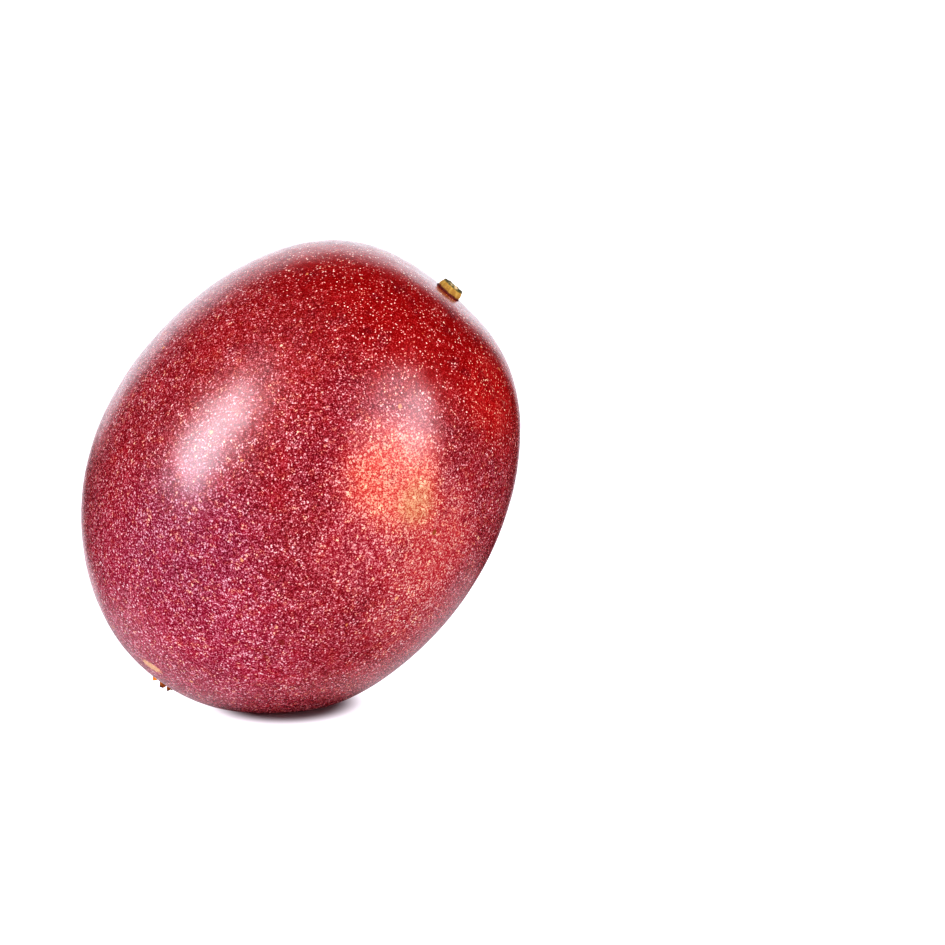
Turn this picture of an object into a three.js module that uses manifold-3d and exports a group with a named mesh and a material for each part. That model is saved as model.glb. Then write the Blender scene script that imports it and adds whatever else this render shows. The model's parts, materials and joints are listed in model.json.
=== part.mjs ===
// A whole passion fruit, resting on a small flat spot with its stalk end up and leaning to one side.
// Three grown pieces, each its own mesh: the fruit, the stub of the stalk that it hung from, and the dried
// remnant of the blossom at the other end. Millimetres, +Z up; the origin is the centre of the bounding box,
// at the level of the surface that the fruit stands on.
//
// Everything is shaped in the fruit's own frame, whose +Z runs from the blossom end to the stalk end and whose
// +X side is the one that the fruit leans towards. One group tips that frame over and lifts it.
import * as THREE from 'three';
import { mergeVertices } from 'three/addons/utils/BufferGeometryUtils.js';
import Module from 'manifold-3d';

const wasm = await Module();
wasm.setup();

// Driving dimensions, in millimetres and radians.
const rad = THREE.MathUtils.degToRad;
const up = new THREE.Vector3(0, 0, 1);

const fruit = {
  halfLength: 33.8, // of the plain ellipsoid, before its ends are flattened
  radius: 27.1,
  egg: 0.29, // how far the blossom half swells and the stalk half draws in
  lobe: 0.16, // three faint swellings round the waist, over the three seed walls
  lobeTurn: rad(30),
  swell: 0.08, // height of each of the swells below
  detail: 15, // subdivisions of the icosahedron that the rind is drawn on
};
// Low, broad unevenness of the rind: a wave along each direction, in radians per radius, and its phase.
const swells = [
  { along: new THREE.Vector3(4.1, 1.5, 0.6), phase: 0.7 },
  { along: new THREE.Vector3(-1.2, 5.3, 1.9), phase: 1.9 },
  { along: new THREE.Vector3(0.8, -3.6, 3.7), phase: -1.1 },
];
// The broad flat that the stalk stands on and the small dent round the blossom remnant. A tilt is measured from
// the fruit's axis, at the stalk end, towards +X.
const crown = { depth: 2.67, spread: rad(22), tilt: rad(3.6) };
const navel = { depth: 0.5, spread: rad(7), tilt: rad(181) };
const lean = rad(33.3); // from the vertical
const rest = {
  cut: 1, // how much the rind has flattened where it stands
  sag: 0.5, // how far it has settled outwards beside that, so that the flat reaches well past the centre of mass
  sagAt: 5, // where, measured level from the fruit's centre towards +X
  sagLong: 7, // spread of the settled part along X
  sagWide: 9, // and along Y
  slab: 20, // thickness of the block that cuts the flat
  slabSide: 90,
};
const stub = {
  tilt: rad(4.9), // where it stands
  root: 1.3, // radius in its socket
  rootDepth: 1.6,
  flare: 1.68, // radius of the foot that sits on the rind
  edge: 0.1, // bevel round the foot and the broken end
  top: 1.46, // radius at the broken end
  height: 1.15,
  widest: 0.5, // its sides stand upright up to this share of the height
  narrowed: 0.8, // and have drawn in to the broken end's width by this one
  end: { rim: 0.7, groove: 0.55, heart: 0.3 }, // the broken end's rings, as shares of its radius
  lift: 0.25, // gap under the foot
  nod: rad(5.4), // how far it bends over above the foot, towards -Y
  oval: 0.035, // unevenness of its outline, as a share of the radius
  sides: 28,
};
const remnant = {
  tilt: navel.tilt,
  root: 1.45,
  rootDepth: 0.9,
  foot: 0.15, // where the dried cup spreads out over the rind
  lip: 0.1, // how much higher its edge stands
  rim: 1.8, // radius of the torn rim
  wall: 0.48, // thickness of that rim
  taper: 0.15, // how far its outside draws in towards the top
  widest: 0.6, // from this share of the height
  hollow: 1, // radius of the pit inside it
  floor: 0.2, // height of the bottom of the pit
  height: 0.95, // mean height of the rim
  tear: 0.2, // how much the torn lobes differ from that
  ragged: 0.06, // and how uneven the rim is seen from above, as a share of the radius
  sides: 36,
};
const socket = {
  gap: 0.25, // all round a root, and below it
  proud: 3, // how far the cutter stands out of the rind
  sides: 24,
};

const finish = {
  fruit: { color: '#8c1030', roughness: 0.38, metalness: 0 },
  stalk: { color: '#b8904a', roughness: 0.7, metalness: 0 },
  blossom: { color: '#6b3a12', roughness: 0.85, metalness: 0 },
};

// Shape of the rind: its distance from the centre in the direction of the unit vector u.
const axisAt = (tilt) => new THREE.Vector3(Math.sin(tilt), 0, Math.cos(tilt));
const roundness = (u) => 1 - u.z * u.z; // 1 at the waist, 0 at both ends

function dent({ depth, spread, tilt }, u) {
  const away = u.angleTo(axisAt(tilt)) / spread;
  return depth * Math.exp(-away * away);
}

function unevenness(u) {
  const lobes = fruit.lobe * Math.cos(3 * (Math.atan2(u.y, u.x) - fruit.lobeTurn));
  const waves = swells.reduce((sum, { along, phase }) => sum + Math.sin(along.dot(u) + phase), 0);
  return (lobes + fruit.swell * waves) * roundness(u);
}

function rindRadius(u) {
  const ellipsoid = 1 / Math.sqrt(roundness(u) / fruit.radius ** 2 + (u.z / fruit.halfLength) ** 2);
  const egg = fruit.egg * Math.cos(3 * u.angleTo(up));
  return ellipsoid + egg - dent(crown, u) - dent(navel, u) + unevenness(u);
}

const tip = new THREE.Matrix4().makeRotationY(lean); // from the fruit's frame to upright
const untip = tip.clone().invert();

// The rind's own weight pushes it out a little beside the spot that it stands on.
function settled(point) {
  const p = point.clone().applyMatrix4(tip);
  const low = THREE.MathUtils.clamp(-p.z / fruit.radius, 0, 1);
  const beside = ((p.x - rest.sagAt) / rest.sagLong) ** 2 + (p.y / rest.sagWide) ** 2;
  p.z -= rest.sag * low ** 4 * Math.exp(-beside);
  return p.applyMatrix4(untip);
}

const onRind = (u) => settled(u.clone().multiplyScalar(rindRadius(u)));

// The rind's outward normal in the direction u, from the surface a small step to each side of it.
function rindNormal(u) {
  const step = 0.03;
  const side = new THREE.Vector3(0, 1, 0).cross(u).normalize();
  const other = u.clone().cross(side);
  const at = (a, b) => onRind(u.clone().addScaledVector(side, a).addScaledVector(other, b).normalize());
  const one = at(step, 0).sub(at(-step, 0));
  const two = at(0, step).sub(at(0, -step));
  return one.cross(two).normalize();
}

// Solids: manifold-3d joins and cuts, three.js makes and shows.
function merged(geometry) {
  const plain = geometry.index ? geometry.toNonIndexed() : geometry.clone();
  plain.deleteAttribute('normal');
  plain.deleteAttribute('uv');
  return mergeVertices(plain, 1e-4);
}

function solid(geometry) {
  const mesh = merged(geometry);
  return new wasm.Manifold(new wasm.Mesh({
    numProp: 3,
    vertProperties: new Float32Array(mesh.attributes.position.array),
    triVerts: new Uint32Array(mesh.index.array),
  }));
}

function geometryOf(manifold) {
  const mesh = manifold.getMesh();
  const geometry = new THREE.BufferGeometry();
  geometry.setAttribute('position', new THREE.BufferAttribute(mesh.vertProperties, 3));
  geometry.setIndex(new THREE.BufferAttribute(mesh.triVerts, 1));
  geometry.computeVertexNormals();
  return geometry;
}

// Moves every vertex of a geometry to where the function puts it.
function reshaped(geometry, move) {
  const mesh = merged(geometry);
  const place = mesh.attributes.position;
  for (let i = 0; i < place.count; i += 1) {
    const p = move(new THREE.Vector3().fromBufferAttribute(place, i));
    place.setXYZ(i, p.x, p.y, p.z);
  }
  return mesh;
}

// A closed shape turned about +Z from [radius, height] pairs that run from axis to axis, bottom first.
function turned(pairs, sides) {
  const lathe = new THREE.LatheGeometry(pairs.map(([r, z]) => new THREE.Vector2(r, z)), sides);
  return lathe.rotateX(Math.PI / 2);
}

// Where a stub or remnant stands: a point on the rind and the turn that takes +Z to the rind's normal there.
function seat({ tilt }) {
  const u = axisAt(tilt);
  return { place: onRind(u), turn: new THREE.Quaternion().setFromUnitVectors(up, rindNormal(u)) };
}

const stalkSeat = seat(stub);
const blossomSeat = seat(remnant);

// A plain round hole in the rind for a root, with the gap all round it and below it.
function socketCutter({ root, rootDepth }, { place, turn }) {
  const depth = rootDepth + socket.gap;
  const radius = root + socket.gap;
  const cutter = new THREE.CylinderGeometry(radius, radius, depth + socket.proud, socket.sides);
  cutter.rotateX(Math.PI / 2).translate(0, 0, (socket.proud - depth) / 2);
  return cutter.applyMatrix4(new THREE.Matrix4().compose(place, turn, new THREE.Vector3(1, 1, 1)));
}

const rind = reshaped(new THREE.IcosahedronGeometry(1, fruit.detail), (p) => onRind(p.normalize()));

// Height of the surface that the fruit stands on, measured upright from the fruit's centre.
function standingLevel() {
  const upright = rind.clone().applyMatrix4(tip);
  upright.computeBoundingBox();
  return upright.boundingBox.min.z + rest.cut;
}

const standing = standingLevel();

function fruitGeometry() {
  const below = new THREE.BoxGeometry(rest.slabSide, rest.slabSide, rest.slab);
  below.translate(0, 0, standing - rest.slab / 2).applyMatrix4(untip);
  const body = solid(rind)
    .subtract(solid(below))
    .subtract(solid(socketCutter(stub, stalkSeat)))
    .subtract(solid(socketCutter(remnant, blossomSeat)));
  return geometryOf(body);
}

// A short woody stub: a root in the socket, a foot over its mouth, and a broken end with a raised middle.
function stubGeometry() {
  const { root, rootDepth, flare, edge, top, height, widest, narrowed, end, lift, nod, oval, sides } = stub;
  const side = widest * height;
  const shape = turned([
    [0, -rootDepth], [root, -rootDepth], [root, lift],
    [flare - edge, lift], [flare, lift + edge], [flare, side],
    [top + edge, narrowed * height], [top, height - edge], [top - edge, height], [end.rim * top, height],
    [end.groove * top, height - edge], [end.heart * top, height], [0, height + edge],
  ], sides);
  const uneven = reshaped(shape, ({ x, y, z }) => {
    const around = Math.atan2(y, x);
    const out = 1 + (z > lift ? oval * (Math.sin(2 * around) + 0.5 * Math.sin(5 * around)) : 0);
    const bend = Math.tan(nod) * THREE.MathUtils.smoothstep(z, lift, side);
    return new THREE.Vector3(x * out, y * out - bend * (z - lift), z + bend * y);
  });
  return geometryOf(solid(uneven));
}

// The dried ring that the blossom left: a root in the socket and a torn, lobed rim round a shallow pit.
function remnantGeometry() {
  const { root, rootDepth, foot, lip, rim, wall, taper, widest, hollow, floor, height, tear, ragged, sides } = remnant;
  const shape = turned([
    [0, -rootDepth], [root, -rootDepth], [root, foot],
    [rim, foot + lip], [rim, widest * height], [rim - taper, height],
    [rim - wall, height], [hollow, height / 2], [hollow / 2, floor], [0, floor],
  ], sides);
  const torn = reshaped(shape, ({ x, y, z }) => {
    const around = Math.atan2(y, x);
    const lobes = Math.sin(5 * around + 0.9) + 0.5 * Math.sin(3 * around - 0.6) + 0.3 * Math.sin(9 * around);
    const high = THREE.MathUtils.smoothstep(z, foot, height);
    const out = 1 + ragged * high * Math.sin(4 * around + 2);
    return new THREE.Vector3(x * out, y * out, z + tear * high * lobes);
  });
  return geometryOf(solid(torn));
}

function grown(name, geometry, look, at) {
  const mesh = new THREE.Mesh(geometry, new THREE.MeshStandardMaterial(look));
  mesh.name = name;
  if (at) {
    mesh.position.copy(at.place);
    mesh.quaternion.copy(at.turn);
  }
  return mesh;
}

const tipped = new THREE.Group();
tipped.add(
  grown('fruit', fruitGeometry(), finish.fruit),
  grown('stalk_stub', stubGeometry(), finish.stalk, stalkSeat),
  grown('blossom_remnant', remnantGeometry(), finish.blossom, blossomSeat),
);
tipped.rotation.y = lean;
tipped.position.z = -standing;

const passionFruit = new THREE.Group();
passionFruit.add(tipped);
const box = new THREE.Box3().setFromObject(passionFruit, true);
tipped.position.x -= (box.min.x + box.max.x) / 2;
tipped.position.y -= (box.min.y + box.max.y) / 2;

export default passionFruit;
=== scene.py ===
"""A whole passion fruit, dressed: the speckled rind, the broken stub of the stalk and the dried blossom end.

Every piece is made in metres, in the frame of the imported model: +Z up, the fruit standing on z = 0. The
pieces follow the same rule for the shape of the rind as the solids do, so each stays on what carries it.
Sizes are written in millimetres and turned into metres with MM where a mesh or a camera needs them.
"""
import json
import logging
import math
from dataclasses import dataclass
from enum import Enum
from functools import cached_property
from typing import Callable, Sequence

import bpy
import numpy as np
from mathutils import Matrix, Quaternion, Vector

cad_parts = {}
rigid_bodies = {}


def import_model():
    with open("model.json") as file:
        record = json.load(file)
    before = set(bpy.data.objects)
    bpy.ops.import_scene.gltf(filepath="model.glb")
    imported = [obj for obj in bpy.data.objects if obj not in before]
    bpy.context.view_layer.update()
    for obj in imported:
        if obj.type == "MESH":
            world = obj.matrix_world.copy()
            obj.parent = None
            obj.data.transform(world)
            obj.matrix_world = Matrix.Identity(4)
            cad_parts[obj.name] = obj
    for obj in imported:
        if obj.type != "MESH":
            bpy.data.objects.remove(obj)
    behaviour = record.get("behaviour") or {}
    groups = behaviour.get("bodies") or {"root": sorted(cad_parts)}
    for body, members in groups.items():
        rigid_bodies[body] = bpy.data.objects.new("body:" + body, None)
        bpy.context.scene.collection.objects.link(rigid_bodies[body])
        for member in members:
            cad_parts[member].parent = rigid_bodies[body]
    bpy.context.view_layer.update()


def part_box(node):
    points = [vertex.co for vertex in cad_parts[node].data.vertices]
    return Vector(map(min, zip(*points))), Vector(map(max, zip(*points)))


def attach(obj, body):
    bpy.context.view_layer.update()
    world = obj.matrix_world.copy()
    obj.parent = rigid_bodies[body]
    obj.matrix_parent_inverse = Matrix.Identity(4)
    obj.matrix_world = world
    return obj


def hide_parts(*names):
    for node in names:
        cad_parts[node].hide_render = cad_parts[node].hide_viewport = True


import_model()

MM = 0.001
IMAGE_SIDE = 945
ROOT_BODY = "root"
DISPLAY_GAMMA = 2.2
VIEW, LOOK = "Standard", "High Contrast"

Piece = bpy.types.Object
Material = bpy.types.Material
Array = np.ndarray
Colour = tuple[float, float, float, float]
Triple = tuple[float, float, float]
Pair = tuple[float, float]
Ramp = tuple[float, float, float, float]
Socket = bpy.types.NodeSocket
Value = float | Sequence[float] | Socket

log = logging.getLogger("passion_fruit")


def tint(red: float, green: float, blue: float) -> Colour:
    """A colour as a display shows it, from 0 to 255 a channel, which Graph.finish turns into linear light."""
    return (red / 255, green / 255, blue / 255, 1.0)


# shape


@dataclass(frozen=True)
class Dent:
    """A round hollow in the rind, on the fruit's XZ plane.

    Attributes:
        depth: at its middle, in millimetres.
        spread: angle at which it has faded to about a third.
        tilt: angle of its middle from the stalk end's axis, towards +X.
    """

    depth: float
    spread: float
    tilt: float


@dataclass(frozen=True)
class Swell:
    """One low wave over the rind: its direction, in radians per radius, and its phase."""

    along: Triple
    phase: float


@dataclass(frozen=True)
class RindForm:
    """The shape of the rind, in millimetres and radians.

    The fruit's own frame has +Z from the blossom end to the stalk end, and +X on the side that it leans to.
    The rind is a distance from the centre for every direction in it. It is then tipped over by the lean,
    settles a little beside the spot that it stands on, and is flattened there.
    """

    half_length: float = 33.8
    radius: float = 27.1
    egg: float = 0.29
    lobe: float = 0.16
    lobe_turn: float = math.radians(30)
    swell: float = 0.08
    swells: tuple[Swell, ...] = (
        Swell((4.1, 1.5, 0.6), 0.7),
        Swell((-1.2, 5.3, 1.9), 1.9),
        Swell((0.8, -3.6, 3.7), -1.1),
    )
    crown: Dent = Dent(2.67, math.radians(22), math.radians(3.6))
    navel: Dent = Dent(0.5, math.radians(7), math.radians(181))
    lean: float = math.radians(33.3)
    sag: float = 0.5
    sag_at: float = 5.0
    sag_long: float = 7.0
    sag_wide: float = 9.0
    flat_edge: float = 0.3

    def distance(self, u: Array) -> Array:
        """Distance from the centre to the rind.

        Args:
            u: unit vectors, one a row.

        Returns:
            The distance along each of them.
        """
        waist = 1 - u[:, 2] ** 2
        ellipsoid = 1 / np.sqrt(waist / self.radius**2 + (u[:, 2] / self.half_length) ** 2)
        egg = self.egg * np.cos(3 * np.arccos(np.clip(u[:, 2], -1, 1)))
        hollows = sum(self._hollow(dent, u) for dent in (self.crown, self.navel))
        lobes = self.lobe * np.cos(3 * (np.arctan2(u[:, 1], u[:, 0]) - self.lobe_turn))
        waves = self.swell * sum(np.sin(u @ np.array(s.along) + s.phase) for s in self.swells)
        return ellipsoid + egg - hollows + (lobes + waves) * waist

    @staticmethod
    def _hollow(dent: Dent, u: Array) -> Array:
        """How deep a dent is.

        Args:
            dent: the dent.
            u: unit vectors, one a row.

        Returns:
            Its depth in each of these directions, in millimetres.
        """
        middle = np.array((math.sin(dent.tilt), 0.0, math.cos(dent.tilt)))
        away = np.arccos(np.clip(u @ middle, -1, 1)) / dent.spread
        return dent.depth * np.exp(-(away**2))

    def tipped(self, u: Array) -> Array:
        """Points of the rind, upright but still centred on the fruit's own centre.

        Args:
            u: unit vectors, one a row.

        Returns:
            One point a row, in millimetres.
        """
        tip = np.array(Matrix.Rotation(self.lean, 3, "Y"))
        points = (u * self.distance(u)[:, None]) @ tip.T
        low = np.clip(-points[:, 2] / self.radius, 0, 1)
        beside = ((points[:, 0] - self.sag_at) / self.sag_long) ** 2 + (points[:, 1] / self.sag_wide) ** 2
        points[:, 2] -= self.sag * low**4 * np.exp(-beside)
        return points


class Rind:
    """The rind where it stands in the part's frame: turns directions from the fruit's centre into points.

    PROBES directions find its box, and points SEAT_STEP from a seat find the normal there.
    """

    PROBES = 40000
    SEAT_STEP = 0.03

    def __init__(self, form: RindForm, low: Vector, high: Vector) -> None:
        """Lines the form up with the box of the solid that it follows.

        Args:
            form: the shape.
            low, high: corners of the solid's box, in metres.
        """
        self.form = form
        turn = math.pi * (3 - math.sqrt(5))
        count = np.arange(self.PROBES) + 0.5
        down = 1 - 2 * count / self.PROBES
        out = np.sqrt(1 - down**2)
        ways = np.stack((out * np.cos(turn * count), out * np.sin(turn * count), down), axis=1)
        probes = form.tipped(ways)
        least, most = probes.min(axis=0), probes.max(axis=0)
        middle = (low + high) / (2 * MM)
        self.centre = np.array((
            middle.x - (least[0] + most[0]) / 2,
            middle.y - (least[1] + most[1]) / 2,
            high.z / MM - most[2],
        ))

    def points(self, u: Array) -> Array:
        """Points of the rind in the part's frame, with the flat that it stands on.

        Args:
            u: unit vectors, one a row.

        Returns:
            One point a row, in millimetres.
        """
        places = self.form.tipped(u) + self.centre
        edge = self.form.flat_edge
        places[:, 2] = (places[:, 2] + np.sqrt(places[:, 2] ** 2 + edge**2)) / 2
        return places

    def seat(self, tilt: float) -> Matrix:
        """Where a stub or a remnant sits.

        Args:
            tilt: angle of its place from the stalk end's axis, towards +X.

        Returns:
            The matrix that takes +Z to the rind's normal there and the origin to the rind, in metres.
        """
        middle = np.array((math.sin(tilt), 0.0, math.cos(tilt)))
        side = np.cross((0.0, 1.0, 0.0), middle)
        side /= np.linalg.norm(side)
        other = np.cross(middle, side)
        near = np.array([middle + self.SEAT_STEP * way for way in (0 * side, side, -side, other, -other)])
        near /= np.linalg.norm(near, axis=1)[:, None]
        place, *round_it = self.form.tipped(near) + self.centre
        normal = Vector(np.cross(round_it[0] - round_it[1], round_it[2] - round_it[3])).normalized()
        untipped = Matrix.Rotation(-self.form.lean, 3, "Y") @ normal
        upright = Vector((0.0, 0.0, 1.0)).rotation_difference(untipped).to_matrix().to_4x4()
        return Matrix.Translation(Vector(place) * MM) @ Matrix.Rotation(self.form.lean, 4, "Y") @ upright


# tools


def only(piece: Piece) -> None:
    """Makes one object the active one and the only one selected."""
    for other in bpy.context.view_layer.objects:
        other.select_set(other == piece)
    bpy.context.view_layer.objects.active = piece


def reshape(piece: Piece, move: Callable[[Array], Array]) -> None:
    """Moves a mesh's points to where a function puts them.

    Args:
        piece: the object.
        move: takes the points, one a row in metres, and gives them back moved.
    """
    mesh = piece.data
    places = np.empty(len(mesh.vertices) * 3)
    mesh.vertices.foreach_get("co", places)
    mesh.vertices.foreach_set("co", move(places.reshape(-1, 3)).ravel())
    mesh.update()


def apply_modifier(piece: Piece, kind: str, **settings: object) -> None:
    """Adds a modifier and applies it.

    Args:
        piece: the object.
        kind: of modifier.
        settings: its properties.
    """
    modifier = piece.modifiers.new(kind.lower(), kind)
    for name, value in settings.items():
        setattr(modifier, name, value)
    only(piece)
    bpy.ops.object.modifier_apply(modifier=modifier.name)


@dataclass(frozen=True)
class Relief:
    """A random relief pressed into a surface.

    Attributes:
        name: what it stands for.
        size, depth: of its bumps, in millimetres.
        octaves: how many finer steps are laid over it.
    """

    name: str
    size: float
    depth: float
    octaves: int = 1

    def press(self, piece: Piece, group: str = "") -> None:
        """Presses the relief into a piece.

        Args:
            piece: the object.
            group: the vertex group that says how much of it each point takes, if not all.
        """
        texture = bpy.data.textures.new(self.name, "CLOUDS")
        texture.noise_scale = self.size * MM
        texture.noise_depth = self.octaves
        texture.noise_basis = "ORIGINAL_PERLIN"
        apply_modifier(piece, "DISPLACE", texture=texture, texture_coords="LOCAL", mid_level=0.5,
                       strength=self.depth * MM, vertex_group=group)
        bpy.data.textures.remove(texture)


def give(piece: Piece, material: Material, node: str) -> None:
    """Dresses a piece, puts it on the fruit's body and lets it stand for its solid.

    Args:
        piece: the finished object, at the origin.
        material: its finish.
        node: the solid that it replaces.
    """
    piece.data.materials.clear()
    piece.data.materials.append(material)
    only(piece)
    bpy.ops.object.shade_smooth()
    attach(piece, ROOT_BODY)
    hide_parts(node)
    log.info("%s: %d faces", piece.name, len(piece.data.polygons))


# finishes


class Graph:
    """The node tree of a material or of the world, with a method for each kind of step in it."""

    def __init__(self, owner: Material | bpy.types.World) -> None:
        """Starts an empty tree in its owner."""
        self.owner = owner
        owner.use_nodes = True
        self.tree = owner.node_tree
        self.tree.nodes.clear()

    @cached_property
    def place(self) -> Socket:
        """The object's own coordinates, in millimetres."""
        return self.scaled(self.add("ShaderNodeTexCoord").outputs["Object"], 1 / MM)

    def add(self, kind: str, values: dict[int | str, Value] | None = None,
            **settings: object) -> bpy.types.Node:
        """Adds a node.

        Args:
            kind: its type.
            values: what its inputs take, by number or identifier: a value, or a socket to link.
            settings: its properties.

        Returns:
            The node.
        """
        node = self.tree.nodes.new(kind)
        for name, setting in settings.items():
            setattr(node, name, setting)
        sockets = dict(enumerate(node.inputs)) | {socket.identifier: socket for socket in node.inputs}
        for key, value in (values or {}).items():
            if isinstance(value, Socket):
                self.tree.links.new(value, sockets[key])
            else:
                sockets[key].default_value = value
        return node

    def math(self, operation: str, *values: Value) -> Socket:
        """One sum on numbers."""
        return self.add("ShaderNodeMath", dict(enumerate(values)), operation=operation).outputs[0]

    def swing(self, value: Value, by: float) -> Socket:
        """A value from 0 to 1 turned into a step of up to half of this, either way."""
        return self.math("MULTIPLY_ADD", value, by, -by / 2)

    def vector(self, operation: str, *values: Value) -> Socket:
        """One sum on vectors. A length, a distance or a dot product comes back as a number."""
        node = self.add("ShaderNodeVectorMath", dict(enumerate(values)), operation=operation)
        return node.outputs["Value" if operation in ("LENGTH", "DISTANCE", "DOT_PRODUCT") else "Vector"]

    def scaled(self, vector: Value, scale: float) -> Socket:
        """A vector made this much longer."""
        return self.add("ShaderNodeVectorMath", {0: vector, "Scale": scale}, operation="SCALE").outputs[0]

    def ease(self, value: Value, start: Value, end: Value, low: Value = 0.0, high: Value = 1.0) -> Socket:
        """A smooth step from low to high as the value goes from start to end."""
        values = dict(enumerate((value, start, end, low, high)))
        return self.add("ShaderNodeMapRange", values, interpolation_type="SMOOTHSTEP").outputs[0]

    def noise(self, size: float, where: Value | None = None, detail: float = 2.0, rough: float = 0.5,
              output: str = "Fac") -> Socket:
        """Smooth noise with features of about this size in millimetres, as a number or, by "Color", three."""
        where = self.place if where is None else where
        values = {"Vector": where, "Scale": 1 / size, "Detail": detail, "Roughness": rough}
        return self.add("ShaderNodeTexNoise", values).outputs[output]

    def drift(self, size: float, detail: float = 2.0, rough: float = 0.5) -> Socket:
        """A vector that wanders smoothly, by up to about a half either way, over this size in millimetres."""
        noise = self.noise(size, detail=detail, rough=rough, output="Color")
        return self.vector("SUBTRACT", noise, (0.5, 0.5, 0.5))

    def astray(self, drift: Value, reach: float) -> Socket:
        """The object's own coordinates, led astray by this much of a drift."""
        return self.vector("ADD", self.place, self.scaled(drift, reach))

    def cells(self, size: float, where: Value) -> bpy.types.Node:
        """Cells of about this size in millimetres, with a Distance from their middles and a random Color."""
        return self.add("ShaderNodeTexVoronoi", {"Vector": where, "Scale": 1 / size})

    def channel(self, colour: Socket, name: str = "Red") -> Socket:
        """One channel of a colour."""
        return self.add("ShaderNodeSeparateColor", {0: colour}).outputs[name]

    def mix(self, kind: str, share: Value, first: Value, second: Value, **settings: object) -> Socket:
        """Two values of a kind, Color or Vector, mixed. A vector has a share for each of its coordinates."""
        factor = "Factor_Float" if kind == "Color" else "Factor_Vector"
        node = self.add("ShaderNodeMix", {factor: share, f"A_{kind}": first, f"B_{kind}": second}, **settings)
        return next(socket for socket in node.outputs if socket.identifier == f"Result_{kind}")

    def blend(self, share: Value, first: Value, second: Value, mode: str = "MIX") -> Socket:
        """Two colours mixed, with this share of the second one."""
        return self.mix("Color", share, first, second, data_type="RGBA", blend_type=mode)

    def split(self, place: Value) -> tuple[Socket, ...]:
        """The three coordinates of a place."""
        return tuple(self.add("ShaderNodeSeparateXYZ", {0: place}).outputs)

    def inside(self, where: Value, middle: Triple, turn: Triple, half: Triple = (1.0, 1.0, 1.0)) -> Socket:
        """Coordinates seen from a middle, turned by Euler angles, with half a size along each axis as 1."""
        values = {"Vector": where, "Location": middle, "Rotation": turn, "Scale": half}
        return self.add("ShaderNodeMapping", values, vector_type="TEXTURE").outputs["Vector"]

    def seated(self, seat: Matrix) -> Socket:
        """Coordinates in the frame of what stands on a seat, in millimetres."""
        return self.inside(self.place, tuple(seat.translation / MM), tuple(seat.to_euler()))

    def bump(self, height: Value, depth: float) -> Socket:
        """A bumped normal, from a height of 0 to 1 that stands for this depth in millimetres."""
        return self.add("ShaderNodeBump", {"Height": height, "Distance": depth * MM}).outputs["Normal"]

    def finish(self, normal: Value, **sockets: Value) -> Material:
        """Ends the tree in one Principled shader.

        Args:
            normal: the bumped normal.
            sockets: the shader's other sockets, with their names' spaces written as underscores.

        Returns:
            The material.
        """
        linear = self.add("ShaderNodeGamma", {"Color": sockets.pop("Base_Color"), "Gamma": DISPLAY_GAMMA})
        values = {name.replace("_", " "): value for name, value in sockets.items()}
        values |= {"Normal": normal, "Base Color": linear.outputs[0]}
        self.end("ShaderNodeOutputMaterial", self.add("ShaderNodeBsdfPrincipled", values))
        return self.owner

    def end(self, kind: str, shader: bpy.types.Node) -> None:
        """Ends the tree in an output of this kind."""
        self.add(kind, {"Surface": shader.outputs[0]})


@dataclass(frozen=True)
class Zone:
    """A broad patch of the rind that ripened to its own colour.

    Attributes:
        name: what it is.
        at, reach: its middle and how far from there it has faded out, in millimetres.
        ground, speck: colours between the specks and of the specks.
        more: what it adds to the share of speck.
        share, core: how strong it is, and over what share of the reach.
    """

    name: str
    at: Triple
    reach: float
    ground: Colour
    speck: Colour
    more: float = 0.0
    share: float = 1.0
    core: float = 0.3


@dataclass(frozen=True)
class Blemish:
    """A small scar, scuff or spot.

    Attributes:
        start, end, width: the ends of its middle line and half its width, in millimetres.
        colour, share: its colour, and how much of the rind's it hides.
    """

    start: Triple
    end: Triple
    width: float
    colour: Colour
    share: float = 0.9


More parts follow.
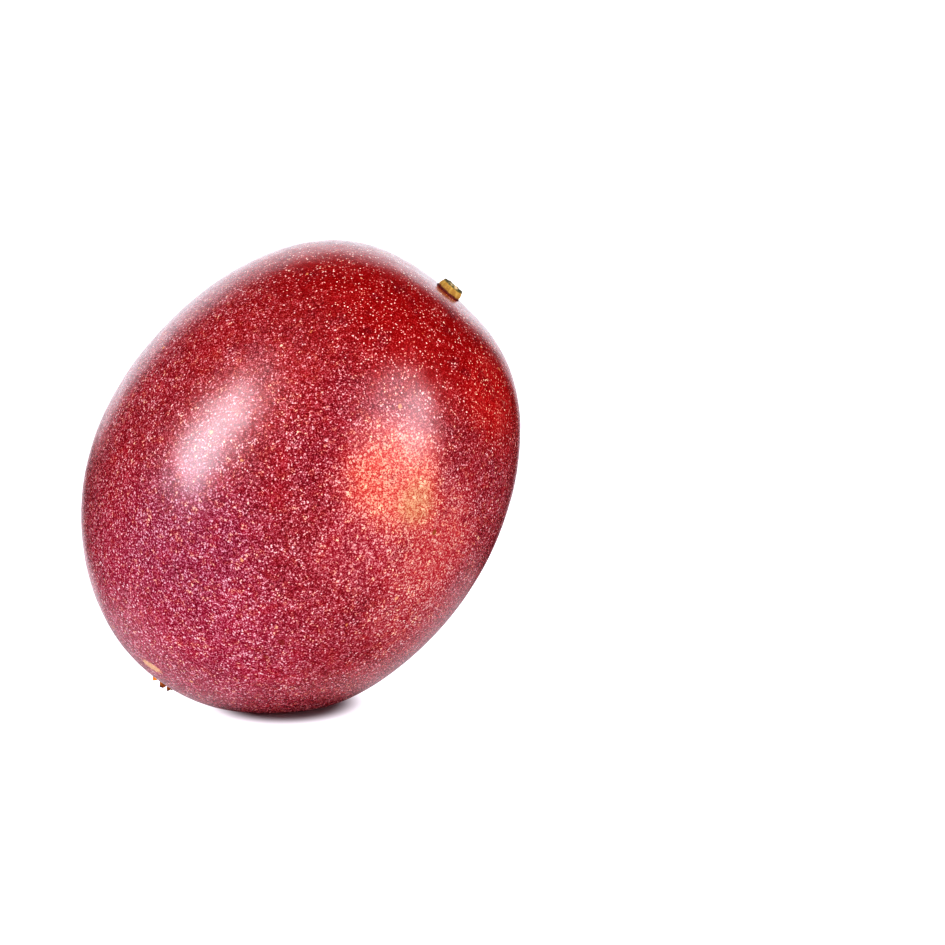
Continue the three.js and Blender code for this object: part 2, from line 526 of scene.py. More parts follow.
@dataclass(frozen=True)
class RindFinish:
    """The ripe rind: specks, corky points and blemishes on a crimson ground, under a thin wax.

    Sizes are in millimetres. A Ramp is a step's start, end, low and high, and a Pair its first two.

    Attributes:
        wander, warp, cork_warp: size and reach of what leads zones, specks and corky points astray.
        bare, crowd: share of speck without zones, and how much it varies.
        sparse: between these shares of speck, few and strong ones on smooth ground turn into many.
        late: how much later than its red the ground's green and blue give way.
        leather, pores: size, and share in the relief.
    """

    ground: Colour = tint(100, 0, 17)
    speck: Colour = tint(222, 176, 180)
    shadow: Colour = tint(82, 4, 26)
    flush: Colour = tint(132, 0, 12)
    patch: float = 3.4
    shaded: Ramp = (0.52, 0.72, 0.0, 0.5)
    flushed: Ramp = (0.48, 0.30, 0.0, 0.6)
    cream: Colour = tint(232, 186, 156)
    cream_size: float = 0.9
    creamed: Ramp = (0.5, 0.7, 0.0, 0.8)
    zones: tuple[Zone, ...] = ()
    blemishes: tuple[Blemish, ...] = ()
    wander: Pair = (7.0, 3.0)
    bare: float = 0.33
    crowd: float = 0.2
    crowd_size: float = 2.4
    speck_spacing: float = 0.37
    speck_share: float = 0.54
    speck_reach: float = 0.7
    speck_swing: float = 0.25
    speck_soft: float = 0.1
    sparse: Pair = (0.15, 0.3)
    sparse_share: float = 1.7
    sparse_grain: float = 0.5
    grain: float = 0.18
    grain_share: float = 2.2
    palest: float = 1.1
    late: float = 1.6
    warp: Pair = (0.4, 0.4)
    cork: Colour = tint(240, 200, 160)
    cork_dark: Colour = tint(206, 138, 84)
    cork_spacing: float = 3.1
    cork_size: Ramp = (0.45, 1.0, 0.0, 0.11)
    cork_edge: Ramp = (0.0, -0.035, 0.0, 0.85)
    cork_warp: Pair = (0.3, 0.45)
    fray_size: float = 0.35
    frayed: Pair = (1.0, 0.55)
    leather: Pair = (0.8, 0.5)
    pores: Pair = (0.2, 0.15)
    raised: float = 0.4
    relief: float = 0.035
    polish_size: float = 1.3
    polish: Ramp = (0.3, 0.7, 0.20, 0.28)
    ior: float = 1.45
    wax: float = 0.25
    wax_rough: float = 0.2

    def make(self) -> Material:
        """Builds the material."""
        g = Graph(bpy.data.materials.new("ripe_rind"))
        ground, speck, more = self._ripeness(g)
        specks = self._specks(g, more)
        # The ground turns into the speck's colour with its red first, so that half tones stay saturated.
        late = g.math("POWER", specks, self.late)
        share = g.add("ShaderNodeCombineXYZ", {0: specks, 1: late, 2: late})
        colour = g.mix("Vector", share.outputs[0], ground, speck, data_type="VECTOR",
                       factor_mode="NON_UNIFORM", clamp_factor=False)
        colour = self._marks(g, self._corks(g, colour))
        leather = g.math("MULTIPLY", g.noise(self.leather[0]), self.leather[1])
        height = g.math("ADD", leather, g.math("MULTIPLY", specks, self.raised))
        height = g.math("MULTIPLY_ADD", g.noise(self.pores[0], detail=1.0), self.pores[1], height)
        rough = g.ease(g.noise(self.polish_size), *self.polish)
        return g.finish(g.bump(height, self.relief), Base_Color=colour, Roughness=rough, IOR=self.ior,
                        Coat_Weight=self.wax, Coat_Roughness=self.wax_rough)

    def _ripeness(self, g: Graph) -> tuple[Socket, ...]:
        """Lays the zones over the plain rind, one after another.

        Args:
            g: the material's tree.

        Returns:
            The colours of the ground and of the specks, and how much of the rind is speck.
        """
        size, reach = self.wander
        where = g.astray(g.drift(size, detail=3.0, rough=0.6), reach)
        ground, speck = self.ground, self.speck
        crowd = g.math("SUBTRACT", g.noise(self.crowd_size), 0.5)
        more = g.math("MULTIPLY_ADD", crowd, self.crowd, self.bare)
        for zone in self.zones:
            away = g.vector("DISTANCE", where, zone.at)
            share = g.ease(away, zone.reach, zone.core * zone.reach, 0.0, zone.share)
            ground = g.blend(share, ground, zone.ground)
            speck = g.blend(share, speck, zone.speck)
            more = g.math("MULTIPLY_ADD", share, zone.more, more)
        patches = g.noise(self.patch, detail=3.0, rough=0.6)
        ground = g.blend(g.ease(patches, *self.shaded), ground, self.shadow)
        ground = g.blend(g.ease(patches, *self.flushed), ground, self.flush, "LIGHTEN")
        speck = g.blend(g.ease(g.noise(self.cream_size, detail=1.0), *self.creamed), speck, self.cream)
        return ground, speck, more

    def _specks(self, g: Graph, more: Value) -> Socket:
        """The specks and the fine grain between them.

        Args:
            g: the material's tree.
            more: how much of the rind is speck.

        Returns:
            How pale each spot is: about 0 on the bare ground and 1 in the middle of a full speck.
        """
        size, reach = self.warp
        cells = g.cells(self.speck_spacing, g.astray(g.drift(size), reach))
        swing = g.math("MULTIPLY", g.channel(cells.outputs["Color"]), self.speck_swing)
        reach = g.math("MULTIPLY_ADD", more, self.speck_reach, swing)
        edge = g.math("SUBTRACT", cells.outputs["Distance"], reach)
        tone = g.math("MULTIPLY_ADD", g.channel(cells.outputs["Color"], "Green"), 0.5, 0.5)
        dot = g.math("MULTIPLY", g.ease(edge, self.speck_soft, -self.speck_soft), tone)
        few = self.sparse_share * self.speck_share
        total = g.math("MULTIPLY", dot, g.ease(more, *self.sparse, few, self.speck_share))
        grain = g.math("SUBTRACT", g.noise(self.grain, detail=1.0), 0.5)
        grain = g.math("MULTIPLY", grain, g.ease(more, *self.sparse, self.sparse_grain))
        total = g.math("ADD", g.math("MULTIPLY_ADD", grain, self.grain_share, total), more)
        return g.math("MINIMUM", g.math("MAXIMUM", total, 0.0), self.palest)

    def _corks(self, g: Graph, colour: Socket) -> Socket:
        """Scatters larger corky points, cream to tan.

        Args:
            g: the material's tree.
            colour: the colour so far.

        Returns:
            The colour with them.
        """
        size, reach = self.cork_warp
        points = g.cells(self.cork_spacing, g.astray(g.drift(size, detail=1.0), reach))
        size = g.ease(g.channel(points.outputs["Color"], "Blue"), *self.cork_size)
        share = g.ease(g.math("SUBTRACT", points.outputs["Distance"], size), *self.cork_edge)
        cork = g.blend(g.channel(points.outputs["Color"], "Green"), self.cork, self.cork_dark)
        return g.blend(share, colour, cork)

    def _marks(self, g: Graph, colour: Socket) -> Socket:
        """Lays each blemish over the rind, with a frayed edge.

        Args:
            g: the material's tree.
            colour: the colour so far.

        Returns:
            The colour with them.
        """
        fray = g.drift(self.fray_size)
        for mark in self.blemishes:
            start, end = Vector(mark.start), Vector(mark.end)
            half = (end - start).length / 2 + mark.width
            turn = (end - start).to_track_quat("X", "Z") if start != end else Quaternion()
            own = g.inside(g.astray(fray, mark.width), tuple((start + end) / 2), tuple(turn.to_euler()),
                           (half, mark.width, mark.width))
            away = g.vector("LENGTH", own)
            colour = g.blend(g.ease(away, *self.frayed, 0.0, mark.share), colour, mark.colour)
        return colour


@dataclass(frozen=True)
class StalkFinish:
    """Dry golden stalk: painted contact shade over the dark flange at its foot, darker bark on the broken
    rim, cream heart.

    The rim's edge is in shares of the stub's height and the heart's in shares of its radius. The rest is in
    millimetres.
    """

    flesh: Colour = tint(204, 168, 88)
    shade: Colour = tint(176, 132, 60)
    bark: Colour = tint(92, 88, 62)
    # foot: painted contact shade where the stub meets the rind, laid over the flange's own dark rim
    foot: Colour = tint(98, 36, 26)
    heart: Colour = tint(226, 200, 160)
    fibre: float = 0.28
    blotch: float = 0.5
    stretch: Triple = (1.0, 1.0, 0.25)
    fibrous: Pair = (0.35, 0.65)
    crumbly: Pair = (0.6, 0.35)
    foot_shade_edge: Pair = (0.32, 0.08)
    rim_edge: Pair = (0.80, 0.97)
    heart_edge: Pair = (1.1, 0.8)
    edge_swing: float = 0.3
    heart_swing: float = 0.5
    weights: Pair = (0.6, 0.4)
    relief: float = 0.08
    rough: float = 0.62
    ior: float = 1.4

    def make(self, stub: "StalkStub") -> Material:
        """Builds the material.

        Args:
            stub: what it is for.

        Returns:
            The material.
        """
        g = Graph(bpy.data.materials.new("dry_stalk"))
        own = g.seated(stub.rind.seat(stub.tilt))
        _, _, up = g.split(own)
        out = g.vector("LENGTH", g.vector("MULTIPLY", own, (1.0, 1.0, 0.0)))
        fibre = g.noise(self.fibre, g.vector("MULTIPLY", own, self.stretch), detail=3.0)
        blotch = g.noise(self.blotch, own, detail=3.0, rough=0.6)
        colour = g.blend(g.ease(fibre, *self.fibrous), self.flesh, self.shade)
        level = g.math("ADD", up, g.swing(blotch, self.edge_swing))
        # Painted contact shade: the stub turns red-brown at its foot, where it meets the rind.
        colour = g.blend(g.ease(level, *self.foot_shade_edge), colour, self.foot)
        top = g.ease(level, *(share * stub.height for share in self.rim_edge))
        uneven = g.math("ADD", out, g.swing(blotch, self.heart_swing))
        centre = g.ease(uneven, *(share * stub.heart for share in self.heart_edge))
        crumbs = g.blend(g.ease(blotch, *self.crumbly), self.heart, self.bark)
        colour = g.blend(top, colour, g.blend(centre, self.bark, crumbs))
        fibres, blotches = (g.math("MULTIPLY", *pair) for pair in zip((fibre, blotch), self.weights))
        return g.finish(g.bump(g.math("ADD", fibres, blotches), self.relief), Base_Color=colour,
                        Roughness=self.rough, IOR=self.ior)


@dataclass(frozen=True)
class BlossomFinish:
    """Dried blossom: brown in the body, nearly black at the tips, with painted light: orange on one side,
    where light comes through.

    The tips' edge starts and ends at shares of the height. The rest is in millimetres.
    """

    # light: the orange of its flecks, and of the painted light that comes through it on one side
    light: Colour = tint(236, 146, 48)
    body: Colour = tint(150, 84, 32)
    char: Colour = tint(52, 26, 14)
    fleck: float = 0.3
    flecked: Pair = (0.35, 0.65)
    lit_through_edge: Pair = (0.5, 1.1)
    browner: float = 0.65
    tip_edge: Ramp = (0.8, 1.1, 0.0, 0.95)
    tip_swing: float = 0.7
    relief: float = 0.12
    rough: float = 0.8
    ior: float = 1.4

    def make(self, remnant: "BlossomEnd") -> Material:
        """Builds the material.

        Args:
            remnant: what it is for.

        Returns:
            The material.
        """
        g = Graph(bpy.data.materials.new("dried_blossom"))
        own = g.seated(remnant.rind.seat(remnant.tilt))
        _, _, up = g.split(own)
        fleck = g.noise(self.fleck, own, detail=3.0, rough=0.65)
        level = g.math("ADD", up, g.swing(fleck, self.tip_swing))
        colour = g.blend(g.ease(fleck, *self.flecked), self.body, self.light)
        # Painted light: one side of the remnant turns orange, as if light came through it.
        side = g.ease(g.vector("DOT_PRODUCT", own, remnant.lit_through_side), *self.lit_through_edge)
        colour = g.blend(side, g.blend(self.browner, colour, self.body), self.light)
        start, end, *shares = self.tip_edge
        tips = g.ease(level, start * remnant.height, end * remnant.height, *shares)
        colour = g.blend(g.math("MULTIPLY", tips, g.math("SUBTRACT", 1.0, side)), colour, self.char)
        return g.finish(g.bump(fleck, self.relief), Base_Color=colour, Roughness=self.rough, IOR=self.ior)


# pieces


@dataclass
class Skin:
    """The whole rind as one fine mesh.

    Its reliefs fade in over the first calm millimetres above the table.
    """

    rind: Rind
    first_cuts: int = 7
    second_cuts: int = 15
    reliefs: tuple[Relief, ...] = (Relief("dimples", 4.5, 0.10), Relief("leather", 1.7, 0.035, 2))
    group: str = "above_flat"
    calm: float = 0.8

    def build(self) -> Piece:
        """Models the rind from a cube whose faces are divided and drawn onto the rind's form."""
        bpy.ops.mesh.primitive_cube_add(size=2)
        piece = bpy.context.object
        piece.name = piece.data.name = "speckled_rind"
        only(piece)
        bpy.ops.object.mode_set(mode="EDIT")
        bpy.ops.mesh.select_all(action="SELECT")
        bpy.ops.mesh.subdivide(number_cuts=self.first_cuts)
        bpy.ops.mesh.subdivide(number_cuts=self.second_cuts)
        bpy.ops.object.mode_set(mode="OBJECT")
        reshape(piece, self._onto_form)
        above = piece.vertex_groups.new(name=self.group)
        for point in piece.data.vertices:
            above.add([point.index], min(1.0, max(0.0, point.co.z / MM / self.calm)), "REPLACE")
        for relief in self.reliefs:
            relief.press(piece, self.group)
        piece.vertex_groups.clear()
        return piece

    def _onto_form(self, cube: Array) -> Array:
        """Rounds the cube's squares into even arcs and draws them onto the rind.

        Args:
            cube: points of the divided cube, one a row, from -1 to 1.

        Returns:
            Points of the rind, one a row, in metres.
        """
        even = np.tan(cube * math.pi / 4)
        even /= np.linalg.norm(even, axis=1)[:, None]
        return self.rind.points(even) * MM


class Turned:
    """A round thing drawn up ring by ring, as a face is extruded and scaled by hand."""

    def __init__(self, name: str, sides: int, rings: Sequence[Pair]) -> None:
        """Draws it up.

        Args:
            name: of the piece.
            sides: of each ring.
            rings: radius and height of each, in millimetres, from the first to the middle of the top.
        """
        (radius, height), *others = rings
        bpy.ops.mesh.primitive_circle_add(vertices=sides, radius=radius * MM, fill_type="NGON",
                                          location=(0, 0, height * MM))
        self.piece = bpy.context.object
        self.piece.name = self.piece.data.name = name
        only(self.piece)
        bpy.ops.object.transform_apply(location=True, rotation=False, scale=False)
        bpy.ops.object.mode_set(mode="EDIT")
        bpy.ops.mesh.select_all(action="SELECT")
        for next_radius, next_height in others:
            rise = (0, 0, (next_height - height) * MM)
            bpy.ops.mesh.extrude_region_move(TRANSFORM_OT_translate={"value": rise})
            share = next_radius / radius
            bpy.ops.transform.resize(value=(share, share, 1), center_override=(0, 0, next_height * MM))
            radius, height = next_radius, next_height
        bpy.ops.mesh.poke()
        bpy.ops.mesh.select_all(action="SELECT")
        bpy.ops.mesh.normals_make_consistent(inside=False)
        bpy.ops.object.mode_set(mode="OBJECT")


@dataclass
class StalkStub:
    """The broken stub of the stalk: a thin flange, a stout foot, fibrous sides and a lumpy broken end.

    Sizes are in millimetres. The tilt is its angle from the stalk end's axis, towards +X. It nods over from
    the height of its lift.
    """

    rind: Rind
    tilt: float = math.radians(4.9)
    height: float = 1.15
    foot: float = 1.7
    top: float = 1.46
    heart: float = 0.85
    nod: float = math.radians(5.4)
    lift: float = 0.25
    oval: float = 0.035
    flange_oval: float = 0.3 * 0.035
    flange: float = 0.1
    rib: float = 0.006
    ribs: int = 17
    rib_from: float = 0.05
    rib_end: float = 1.2
    lump: float = 0.05
    lump_from: float = 0.85
    sides: int = 56

    def build(self) -> Piece:
        """Models the stub where it stands."""
        piece = Turned("broken_stalk", self.sides, self._rings()).piece
        apply_modifier(piece, "SUBSURF", levels=2, render_levels=2)
        reshape(piece, self._weathered)
        Relief("fibres", 0.5, 0.10, 2).press(piece)
        Relief("crumbs", 0.18, 0.03, 1).press(piece)
        piece.data.transform(self.rind.seat(self.tilt))
        return piece

    def _rings(self) -> tuple[Pair, ...]:
        """Radius and height of each ring, from inside the rind to the middle of the broken end."""
        tall, foot, top = self.height, self.foot, self.top
        flange = ((foot + 0.05, -0.35), (foot + 0.14, -0.12), (foot + 0.15, 0.0), (foot + 0.06, 0.06))
        sides = ((foot - 0.02, 0.12), (foot, 0.3 * tall), (foot - 0.03, 0.5 * tall),
                 (top + 0.1, 0.75 * tall), (top + 0.02, 0.92 * tall), (top - 0.12, tall))
        broken = ((0.78, 1.0), (0.66, 0.93), (0.5, 0.97), (0.3, 1.06), (0.1, 1.08))
        return (*flange, *sides, *((out * top, up * tall) for out, up in broken))

    def _weathered(self, points: Array) -> Array:
        """Makes the outline uneven and bends the stub over above its foot.

        Args:
            points: of the turned stub, one a row, in metres.

        Returns:
            The points moved.
        """
        x, y, z = (points / MM).T
        around = np.arctan2(y, x)
        share = np.clip((z - self.lift) / (0.5 * self.height - self.lift), 0, 1)
        above = share * share * (3 - 2 * share)
        uneven = np.sin(2 * around) + 0.5 * np.sin(5 * around)
        out = 1 + np.where(z > self.flange, self.oval, self.flange_oval) * uneven
        fade = np.clip(self.rib_end - z / self.height, 0, 1) * (z > self.rib_from)
        out += self.rib * np.sin(self.ribs * around + 1.3) * fade
        bend = math.tan(self.nod) * above
        lumps = self.lump * above * (np.sin(3 * around + 0.5) + np.sin(7 * around))
        up = z + bend * y + lumps * (z > self.lump_from * self.height)
        return np.stack((x * out, y * out - bend * (z - self.lift), up), axis=1) * MM


@dataclass(frozen=True)
class Lobe:
    """One torn lobe of the blossom's rim: where it is, how wide and how tall.

    Attributes:
        at, width: angle round the rim and half the angle that it takes up, in degrees.
        height: in millimetres.
    """

    at: float
    width: float
    height: float


@dataclass
class BlossomEnd:
    """The dried remains of the blossom: a torn papery ring round a crumbly pit. Sizes in millimetres.

    The rim comes in between two heights and two shares of the radius. Its lobes are parabolas to the power of
    blunt. It is coloured up to its height.
    """

    rind: Rind
    tilt: float = math.radians(181)
    radius: float = 1.72
    wall: float = 0.3
    height: float = 1.15
    lobes: tuple[Lobe, ...] = (
        Lobe(-42, 22, 0.80),
        Lobe(-96, 22, 0.95),
        Lobe(-138, 20, 0.95),
        Lobe(178, 24, 0.80),
        Lobe(44, 24, 0.60),
        Lobe(112, 26, 0.66),
    )
    # the side where painted light comes through the remnant, orange
    lit_through_side: Triple = (1.0, 0.0, 0.0)
    blunt: float = 0.7
    fray: float = 0.05
    frays: int = 23
    fray_from: float = 0.1
    rim_up: Pair = (0.14, 0.34)
    rim_out: Pair = (0.55, 0.80)
    flare: float = 0.06
    sides: int = 72

    def build(self) -> Piece:
        """Models the remnant where it stands."""
        piece = Turned("dried_blossom", self.sides, self._rings()).piece
        apply_modifier(piece, "SUBSURF", levels=2, render_levels=2)
        reshape(piece, self._torn)
        Relief("crumples", 0.45, 0.16, 2).press(piece)
        Relief("flakes", 0.16, 0.06, 1).press(piece)
        piece.data.transform(self.rind.seat(self.tilt))
        return piece

    def _rings(self) -> tuple[Pair, ...]:
        """Radius and height of each ring, from inside the rind over the rim and down into the pit."""
        radius, inner = self.radius, self.radius - self.wall
        outside = ((0.1, -0.5), (-0.12, -0.1), (-0.1, 0.06), (0.0, 0.14), (0.02, 0.22), (0.04, 0.30))
        rim = ((radius - 0.5 * self.wall, 0.36), (inner, 0.30), (inner - 0.05, 0.2), (inner - 0.2, 0.05))
        pit = ((0.5 * radius, -0.02), (0.25 * radius, 0.1), (0.1 * radius, 0.12))
        return (*((radius - less, up) for less, up in outside), *rim, *pit)

    def _torn(self, points: Array) -> Array:
        """Draws the rim up into lobes and leans each of them a little outwards.

        Args:
            points: of the turned remnant, one a row, in metres.

        Returns:
            The points moved.
        """
        x, y, z = (points / MM).T
        around = np.arctan2(y, x)
        tall = np.zeros_like(z)
        for lobe in self.lobes:
            turn = around - math.radians(lobe.at)
            away = np.abs((turn + math.pi) % (2 * math.pi) - math.pi) / math.radians(lobe.width)
            tall = np.maximum(tall, lobe.height * np.clip(1 - away**2, 0, 1) ** self.blunt)
        tall += self.fray * np.sin(self.frays * around) * (tall > self.fray_from)
        out = np.hypot(x, y) / self.radius
        rim = np.interp(z, self.rim_up, (0, 1)) * np.interp(out, self.rim_out, (0, 1))
        spread = 1 + self.flare * rim * tall
        return np.stack((x * spread, y * spread, z + rim * tall), axis=1) * MM


# stage


class Rays(Enum):
    """What a softbox lights."""

    DIFFUSE = "diffuse"
    GLOSSY = "glossy"


@dataclass(frozen=True)
class Softbox:
    """A softbox that faces the fruit.

    Attributes:
        name: what it is for.
        side, height: degrees round to the right from straight in front, and above the level of the fruit.
        distance, size: from the fruit, and width and height, in millimetres.
        power, colour: of its light, in watts.
        rays: what it lights, the body of a surface or its gloss.
        roll: degrees that its top leans to the right, seen from the fruit.
    """

    name: str
    side: float
    height: float
    distance: float
    size: Pair
    power: float
    rays: Rays
    roll: float = 0.0
    colour: Triple = (1.0, 1.0, 1.0)

    def hang(self, centre: Vector) -> None:
        """Hangs it.

        Args:
            centre: the point that it faces, in millimetres.
        """
        data = bpy.data.lights.new(self.name, "AREA")
        data.shape = "RECTANGLE"
        data.size, data.size_y = (side * MM for side in self.size)
        data.energy = self.power
        data.color = self.colour
        light = bpy.data.objects.new(self.name, data)
        side, height = math.radians(self.side), math.radians(self.height)
        level = math.cos(height)
        toward = Vector((math.sin(side) * level, -math.cos(side) * level, math.sin(height)))
        light.location = (centre + toward * self.distance) * MM
        facing = (-toward).to_track_quat("-Z", "Y")
        light.rotation_euler = (facing @ Quaternion((0, 0, 1), math.radians(self.roll))).to_euler()
        light.visible_diffuse = self.rays is Rays.DIFFUSE
        light.visible_glossy = self.rays is Rays.GLOSSY
        bpy.context.scene.collection.objects.link(light)


@dataclass
class Stage:
    """The white table, the room, the camera and the lights. Distances in millimetres.

    Attributes:
        fruit_at: the fruit's centre in the image, in pixels.
        contact, contact_at, contact_edge: radii, middle and edge of the painted patch of shade under the
            fruit, where the glow is left out.
        strip_from, strip_edge, strip_fade: where the bright strip's lines meet, to the left and in front, its
            edge as a slope from there, and how it comes in behind.
        foot_gloss, foot_reach: the bright patch round the foot, by the shade's radii and by distance.
        foot_bend, foot_slope, foot_front: the line that ends this patch in front.
        fill: how brightly the table lights the fruit.
    """

    rind: Rind
    softboxes: tuple[Softbox, ...]
    fruit_at: Pair = (302.7, 476.4)
    pixels_per_mm: float = 7.5
    distance: float = 450.0
    elevation: float = math.radians(9)
    sensor: float = 36.0
    table_side: float = 6000.0
    contact: Pair = (10.4, 13.4)
    contact_at: Triple = (-0.2, 0.0, 0.0)
    contact_edge: Pair = (0.6, 1.15)
    strip_from: Pair = (20.0, 70.0)
    strip_edge: Pair = (0.42, 0.28)
    strip_fade: Pair = (15.0, 45.0)
    foot_gloss: Ramp = (0.7, 1.3, 0.0, 0.5)
    foot_reach: Pair = (70.0, 40.0)
    foot_bend: float = 3.0
    foot_slope: float = 0.55
    foot_front: Pair = (-19.0, -12.0)
    fill: float = 0.48
    glow: Colour = (0.90, 0.86, 0.93, 1.0)
    cloth: Colour = (0.86, 0.86, 0.87, 1.0)
    cloth_seen: Colour = (0.30, 0.29, 0.31, 1.0)
    cloth_gloss: Colour = (0.04, 0.035, 0.04, 1.0)
    wall_toward: Triple = (-0.14, 0.96, 0.24)
    wall: Ramp = (0.80, 0.93, 0.004, 1.3)
    room: float = 0.33
    room_gloss: Colour = (0.85, 0.93, 1.0, 1.0)

    def build(self) -> None:
        """Sets up everything that isn't the fruit."""
        self._camera()
        self._table()
        self._world()
        for softbox in self.softboxes:
            softbox.hang(Vector(self.rind.centre))

    def _camera(self) -> None:
        """Places the camera so that the fruit's centre lands on its place in the image."""
        ahead = Vector((0, math.cos(self.elevation), -math.sin(self.elevation)))
        right = Vector((1, 0, 0))
        up = right.cross(ahead)
        middle = IMAGE_SIDE / 2
        across = (middle - self.fruit_at[0]) / self.pixels_per_mm
        down = (self.fruit_at[1] - middle) / self.pixels_per_mm
        target = Vector(self.rind.centre) + right * across + up * down
        data = bpy.data.cameras.new("camera")
        data.sensor_width = self.sensor
        data.lens = self.sensor * self.pixels_per_mm * self.distance / IMAGE_SIDE
        camera = bpy.data.objects.new("camera", data)
        camera.location = (target - self.distance * ahead) * MM
        camera.rotation_euler = ahead.to_track_quat("-Z", "Y").to_euler()
        bpy.context.scene.collection.objects.link(camera)
        bpy.context.scene.camera = camera

    def _table(self) -> None:
        """A wide white table, lit from within, with its glow left out of a painted patch of shade close under
        the fruit.

        To gloss it is bright only in a strip that runs away behind the fruit and in a patch round its foot,
        so that it doesn't veil the rind.
        """
        bpy.ops.mesh.primitive_plane_add(size=self.table_side * MM)
        table = bpy.context.object
        table.name = table.data.name = "white_table"
        g = Graph(bpy.data.materials.new("white_table"))
        rays = g.add("ShaderNodeLightPath").outputs
        across, along, _ = g.split(g.place)
        wide, deep = self.contact
        away = g.vector("DISTANCE", g.vector("MULTIPLY", g.place, (1 / wide, 1 / deep, 0.0)), self.contact_at)
        # Painted shade: to the camera the glow is left out in an oval patch under the fruit, so that the
        # darker cloth and its real shade show there.
        seen = g.math("MULTIPLY", rays["Is Camera Ray"], g.ease(away, *self.contact_edge))
        left, ahead = self.strip_from
        aside = g.math("ABSOLUTE", g.math("ADD", across, left))
        slope = g.math("DIVIDE", aside, g.math("ADD", along, ahead))
        behind = g.math("MULTIPLY", g.ease(slope, *self.strip_edge), g.ease(along, *self.strip_fade))
        near = g.ease(g.vector("LENGTH", g.place), *self.foot_reach)
        right = g.math("MAXIMUM", g.math("SUBTRACT", across, self.foot_bend), 0.0)
        front = g.math("MULTIPLY_ADD", right, -self.foot_slope, along)
        foot = g.math("MULTIPLY", g.ease(away, *self.foot_gloss), near)
        foot = g.math("MULTIPLY", foot, g.ease(front, *self.foot_front))
        gloss = g.math("MULTIPLY", rays["Is Glossy Ray"], g.math("MAXIMUM", behind, foot))
        around = g.math("MULTIPLY_ADD", rays["Is Diffuse Ray"], self.fill, gloss)
        glow = g.add("ShaderNodeEmission", {"Color": self.glow, "Strength": g.math("ADD", seen, around)})
        # The camera sees a darker copy of the cloth, so that the painted patch of shade shows dark.
        plain = g.blend(rays["Is Camera Ray"], self.cloth, self.cloth_seen)
        colour = g.blend(rays["Is Glossy Ray"], plain, self.cloth_gloss)
        cloth = g.add("ShaderNodeBsdfDiffuse", {"Color": colour})
        both = g.add("ShaderNodeAddShader", {0: cloth.outputs[0], 1: glow.outputs[0]})
        g.end("ShaderNodeOutputMaterial", both)
        table.data.materials.append(g.owner)

    def _world(self) -> None:
        """A room that is white to the camera and dimmer to everything else, with a bright wall for gloss."""
        g = Graph(bpy.data.worlds.new("studio"))
        bpy.context.scene.world = g.owner
        rays = g.add("ShaderNodeLightPath").outputs
        toward = g.add("ShaderNodeTexCoord").outputs["Generated"]
        behind = g.vector("DOT_PRODUCT", toward, tuple(Vector(self.wall_toward).normalized()))
        beyond = g.math("SUBTRACT", g.ease(behind, *self.wall), self.room)
        level = g.math("MULTIPLY_ADD", rays["Is Glossy Ray"], beyond, self.room)
        level = g.math("MAXIMUM", level, rays["Is Camera Ray"])
        colour = g.blend(rays["Is Glossy Ray"], (1.0, 1.0, 1.0, 1.0), self.room_gloss)
        g.end("ShaderNodeOutputWorld", g.add("ShaderNodeBackground", {"Color": colour, "Strength": level}))


# colours

ZONES = (
    Zone("plum side", (-16, -18, 14), 26, tint(112, 4, 38), tint(230, 190, 201), 0.03, 0.9),
    Zone("plum patch", (-13, -24, 27), 14, tint(92, 0, 32), tint(204, 150, 168), 0.06, 0.8),
    Zone("crimson crown", (18.3, 0, 58), 31, tint(128, 0, 6), tint(254, 226, 216), -0.15, 1, 0.6),
    Zone("crimson shoulder", (-5, -19, 49.5), 15, tint(116, 0, 8), tint(226, 166, 172), -0.02, 0.8),
    Zone("warm foot", (14.5, -18, 16.5), 9, tint(130, 23, 38), tint(216, 180, 174), 0.06, 0.8),
    Zone("coral flank", (18, -19.5, 25.5), 11, tint(147, 19, 34), tint(209, 155, 145), 0.1, 1),
    Zone("coral spread", (7.9, -24.8, 25.7), 7.5, tint(123, 9, 31), tint(209, 141, 142), 0.12, 0.8),
    Zone("scarlet edge", (25.2, -11.5, 43.5), 8, tint(146, 0, 10), tint(254, 224, 190), 0.04, 0.9),
    Zone("blush", (13.2, -24, 34.4), 9.8, tint(173, 32, 33), tint(220, 148, 128), 0.2, 1, 0.35),
    Zone("gold spot", (16, -22.5, 31), 4.5, tint(164, 80, 50), tint(194, 138, 100), 0.1, 0.6),
)
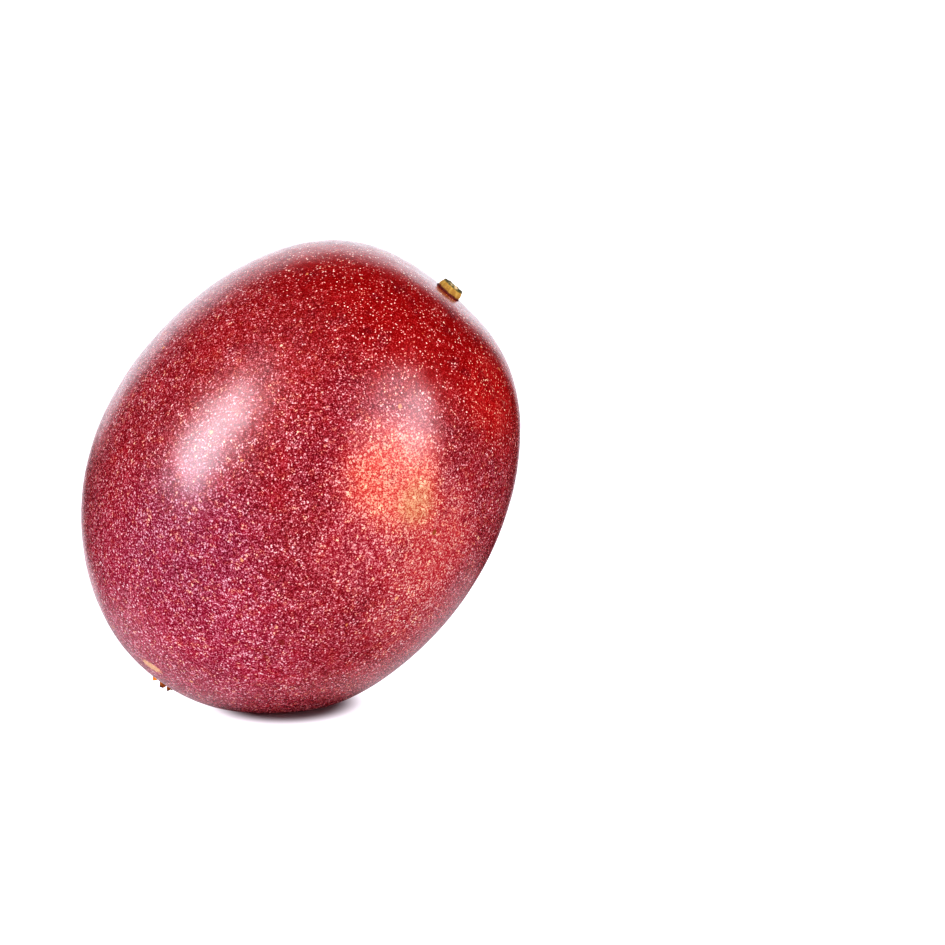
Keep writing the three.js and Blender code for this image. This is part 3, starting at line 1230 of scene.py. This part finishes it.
SOFTBOXES = (
    Softbox("left_fill", -45, 29, 800, (500, 500), 2.8, Rays.DIFFUSE),
    Softbox("right_fill", 59, 13, 850, (300, 500), 2.4, Rays.DIFFUSE),
    Softbox("top_fill", -22, 74, 900, (700, 700), 1.8, Rays.DIFFUSE),
    Softbox("left_gleam", -55, 26, 800, (310, 550), 6.5, Rays.GLOSSY, -26, (0.80, 0.93, 1.0)),
    Softbox("right_gleam", 45, 24, 850, (440, 450), 2.1, Rays.GLOSSY, 0, (0.78, 0.93, 1.0)),
    Softbox("right_core", 59, 11, 850, (230, 400), 1.9, Rays.GLOSSY, 0, (0.78, 0.93, 1.0)),
)
BLEMISHES = (
    Blemish((9.92, -2.44, 61.41), (12.72, -1.63, 60.31), 0.35, tint(176, 160, 116), 0.75),
    Blemish((2.07, -2.1, 62.16), (2.07, -2.1, 62.16), 0.3, tint(200, 160, 110)),
    Blemish((18.22, -5.52, 56.33), (19.2, -6.19, 55.42), 0.12, tint(150, 124, 76)),
    Blemish((20.58, -3.31, 54.62), (21.83, -4.14, 53.37), 0.08, tint(70, 40, 44)),
    Blemish((-20.0, -10.8, 7.85), (-18.3, -11.75, 7.15), 1.2, tint(226, 188, 134), 0.85),
    Blemish((18.08, -20.01, 27.04), (18.0, -20.1, 26.6), 0.35, tint(140, 70, 36)),
    Blemish((-1.57, -22.93, 13.3), (-1.3, -22.8, 12.8), 0.5, tint(120, 40, 30), 0.6),
    Blemish((-3.74, -21.49, 11.05), (-3.4, -21.4, 10.9), 0.35, tint(140, 60, 40), 0.6),
    Blemish((1.62, -11.63, 59.12), (1.62, -11.63, 59.12), 0.25, tint(214, 160, 104)),
    Blemish((-1.3, -20.06, 50.86), (-1.3, -20.06, 50.86), 0.25, tint(246, 222, 190)),
)


def main() -> None:
    """Builds the fruit, piece by piece, and its stage."""
    logging.basicConfig(level=logging.INFO, format="%(name)s: %(message)s")
    rind = Rind(RindForm(), *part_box("fruit"))
    give(Skin(rind).build(), RindFinish(zones=ZONES, blemishes=BLEMISHES).make(), "fruit")
    stalk = StalkStub(rind)
    give(stalk.build(), StalkFinish().make(stalk), "stalk_stub")
    blossom = BlossomEnd(rind)
    give(blossom.build(), BlossomFinish().make(blossom), "blossom_remnant")
    Stage(rind, SOFTBOXES).build()
    bpy.context.scene.view_settings.view_transform = VIEW
    bpy.context.scene.view_settings.look = LOOK


if __name__ == "__main__":
    main()
